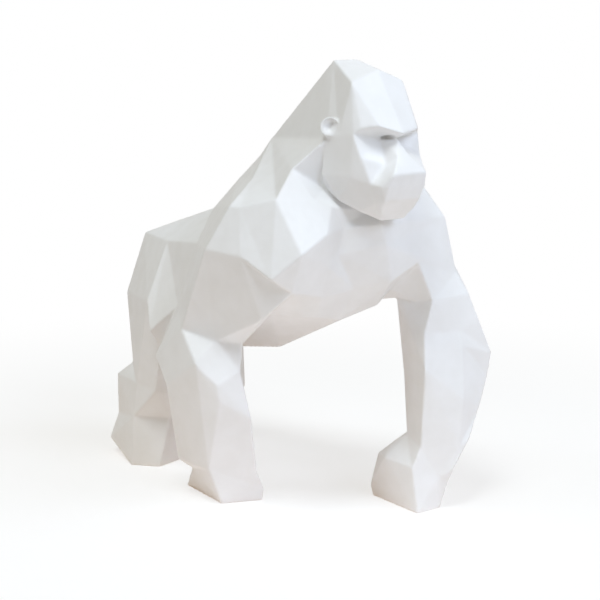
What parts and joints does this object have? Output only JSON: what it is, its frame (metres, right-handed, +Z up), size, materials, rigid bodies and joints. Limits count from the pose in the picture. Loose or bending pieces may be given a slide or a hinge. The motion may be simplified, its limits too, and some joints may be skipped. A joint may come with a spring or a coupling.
{
  "type": "gorilla figurine",
  "caption": "Gorilla figurine with flat-cut facets, cast in one piece, walking on its knuckles with one arm reaching forward.",
  "frame": {"origin": "on the floor under the middle of the whole figure", "axes": "+Z up, the face looks along -Y, the animal's left side is on +X"},
  "size_m": [0.158, 0.252, 0.25],
  "materials": {
    "resin": "matte cast resin"
  },
  "bodies": {
    "root": {"gorilla_figurine": "resin"}
  },
  "joints": []
}
